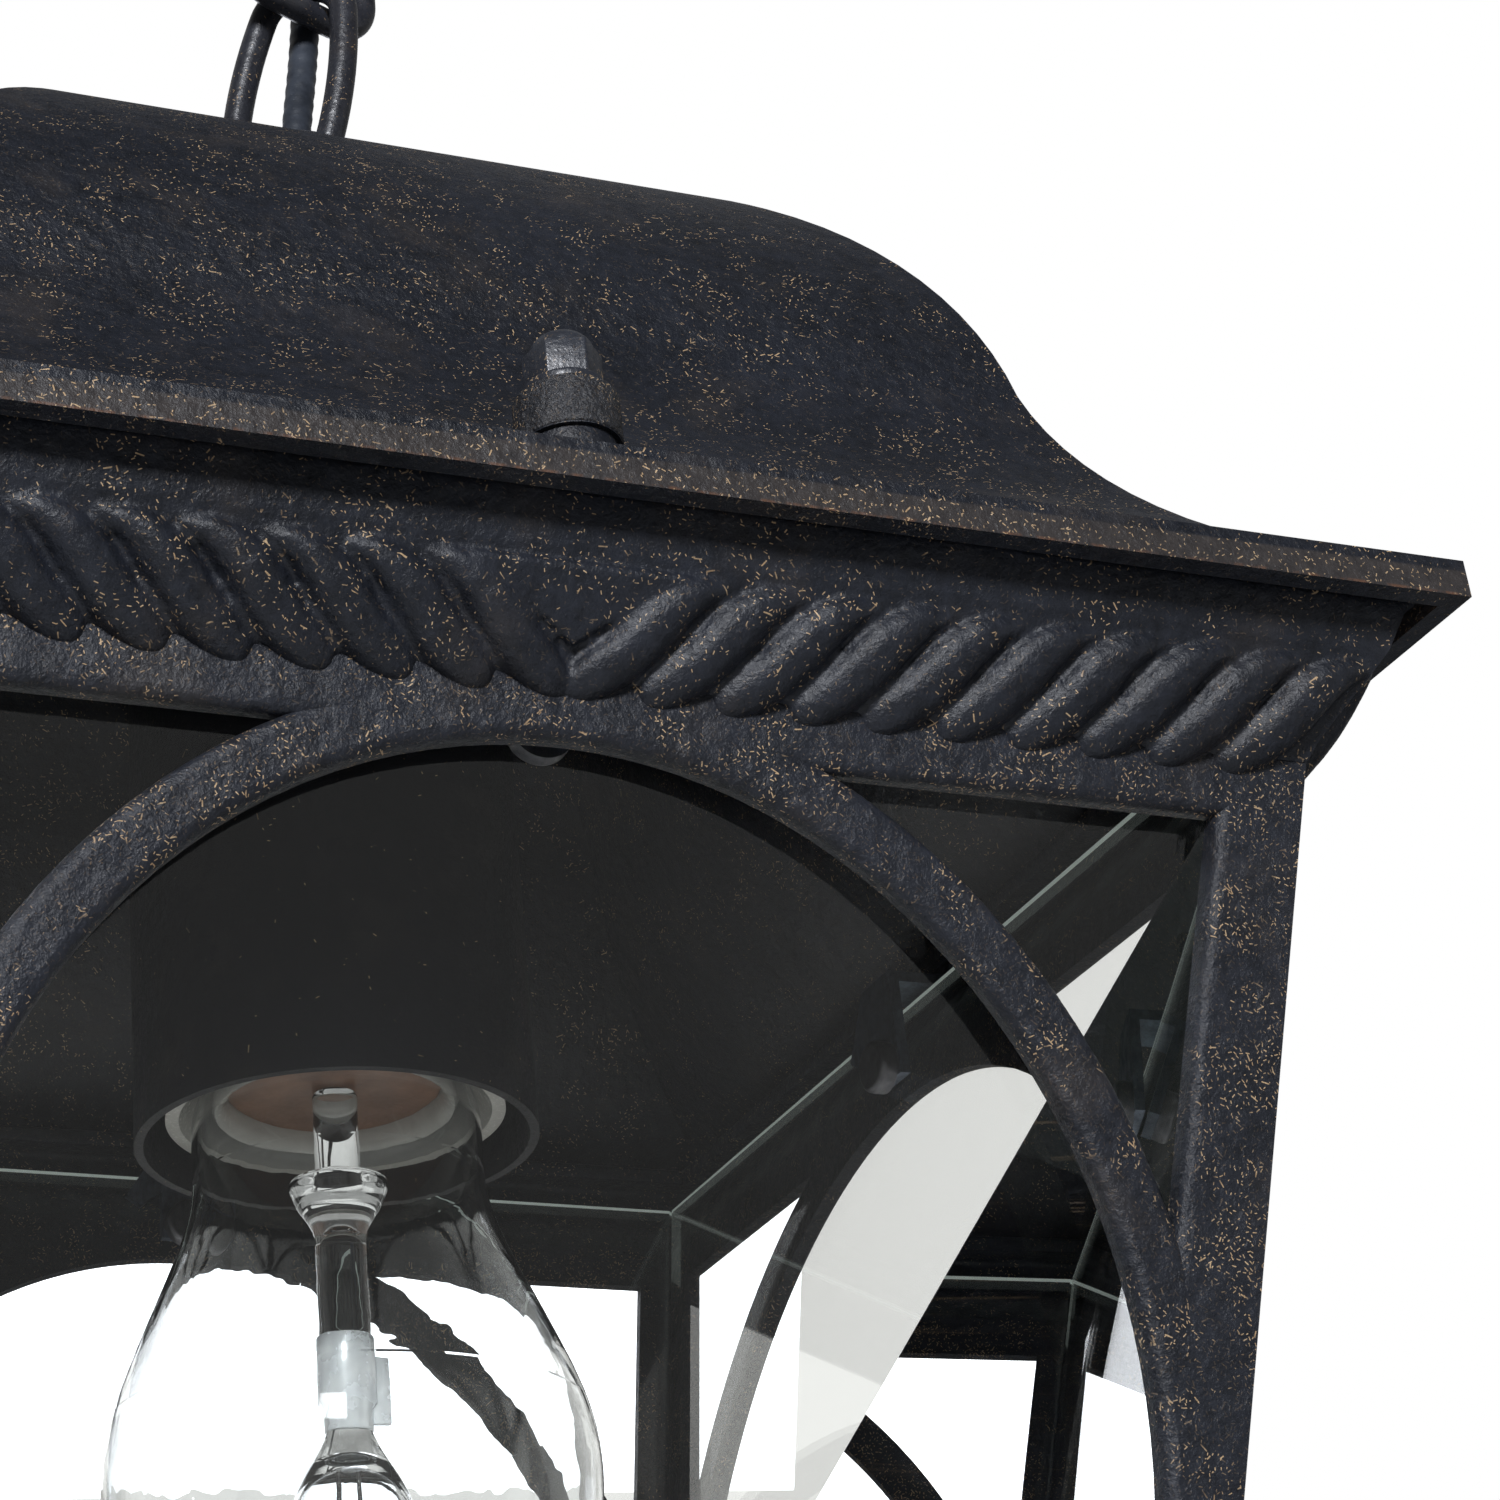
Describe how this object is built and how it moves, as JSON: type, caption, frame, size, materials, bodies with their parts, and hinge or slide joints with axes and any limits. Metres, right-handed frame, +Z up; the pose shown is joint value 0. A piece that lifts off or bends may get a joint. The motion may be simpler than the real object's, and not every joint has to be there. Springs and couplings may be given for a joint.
{
  "type": "pendant lantern",
  "caption": "Square black lantern pendant with arched walls, clear panes, rope moulding, flared hip roof, chain and canopy",
  "frame": {"origin": "point of the ceiling straight above the lantern's axis, where the ceiling bar and canopy meet the ceiling", "axes": "+Z up into the ceiling, +X to the right along the front wall, the front wall faces -Y"},
  "size_m": [0.2012, 0.2012, 0.538],
  "materials": {
    "black_paint": "textured black with gold flecks",
    "clear_glass": "clear",
    "bulb_glass": "clear",
    "bright_steel": "zinc plated",
    "dark_steel": "blackened",
    "brown_plastic": "glossy",
    "white_ceramic": "glazed",
    "brass_shell": "plain",
    "nickel_base": "nickel plated",
    "cord_cover": "ribbed black sleeve"
  },
  "bodies": {
    "ceiling_mount": {"ceiling_bar": "bright_steel", "bar_lock_nut": "bright_steel", "canopy_hook": "black_paint", "cord_ceiling": "cord_cover"},
    "canopy_cup": {"canopy": "black_paint", "canopy_ring": "black_paint"},
    "link_1": {"chain_link_1": "black_paint", "cord_link_1": "cord_cover"},
    "link_2": {"chain_link_2": "black_paint", "cord_link_2": "cord_cover"},
    "link_3": {"chain_link_3": "black_paint", "cord_link_3": "cord_cover"},
    "lamp_head": {"roof": "black_paint", "roof_neck": "black_paint", "roof_loop": "black_paint", "socket_cover": "black_paint", "cover_spacer": "bright_steel", "cover_lock_nut": "bright_steel", "supply_pipe": "bright_steel", "socket_cap": "brown_plastic", "socket_body": "white_ceramic", "socket_ring": "white_ceramic", "screw_shell": "brass_shell", "centre_contact": "brass_shell", "cord_pipe": "cord_cover", "cord_lamp": "cord_cover"},
    "roof_nuts": {"cap_nuts": "black_paint"},
    "cage": {"frieze_front": "black_paint", "frieze_right": "black_paint", "frieze_back": "black_paint", "frieze_left": "black_paint", "wall_front": "black_paint", "wall_right": "black_paint", "wall_back": "black_paint", "wall_left": "black_paint", "bottom_rail": "black_paint", "pane_front": "clear_glass", "pane_right": "clear_glass", "pane_back": "clear_glass", "pane_left": "clear_glass", "pane_clips": "bright_steel", "clip_screws": "dark_steel", "roof_studs": "bright_steel"},
    "bulb": {"bulb_glass": "bulb_glass", "bulb_base": "nickel_base", "bulb_contact": "nickel_base", "bulb_stem": "bulb_glass", "capsule_collar": "nickel_base", "capsule": "bulb_glass", "filament": "dark_steel"}
  },
  "joints": [
    {"name": "link_1_swing", "type": "hinge", "parent": "ceiling_mount", "child": "link_1", "pos_m": [0.002, -0.00245, -0.064], "axis": [-0.342, 0.9397, 0], "range_deg": [-6, 6]},
    {"name": "link_2_swing", "type": "hinge", "parent": "link_1", "child": "link_2", "pos_m": [0.002, -0.00245, -0.09935], "axis": [0.9397, 0.342, 0], "range_deg": [-6, 6]},
    {"name": "link_3_swing", "type": "hinge", "parent": "link_2", "child": "link_3", "pos_m": [0.002, -0.00245, -0.1352], "axis": [-0.342, 0.9397, 0], "range_deg": [-6, 6]},
    {"name": "lamp_swing", "type": "hinge", "parent": "link_3", "child": "lamp_head", "pos_m": [0.002, -0.00245, -0.17105], "axis": [0.9397, 0.342, 0], "range_deg": [-6, 6]},
    {"name": "canopy_drop", "type": "slide", "parent": "ceiling_mount", "child": "canopy_cup", "axis": [0, 0, -1], "range_m": [0, 0.025]},
    {"name": "nuts_off", "type": "slide", "parent": "lamp_head", "child": "roof_nuts", "axis": [0, 0, 1], "range_m": [0, 0.012]},
    {"name": "cage_drop", "type": "slide", "parent": "lamp_head", "child": "cage", "axis": [0, 0, -1], "range_m": [0, 0.06]},
    {"name": "bulb_out", "type": "slide", "parent": "lamp_head", "child": "bulb", "axis": [0, 0, -1], "range_m": [0, 0.035]}
  ]
}
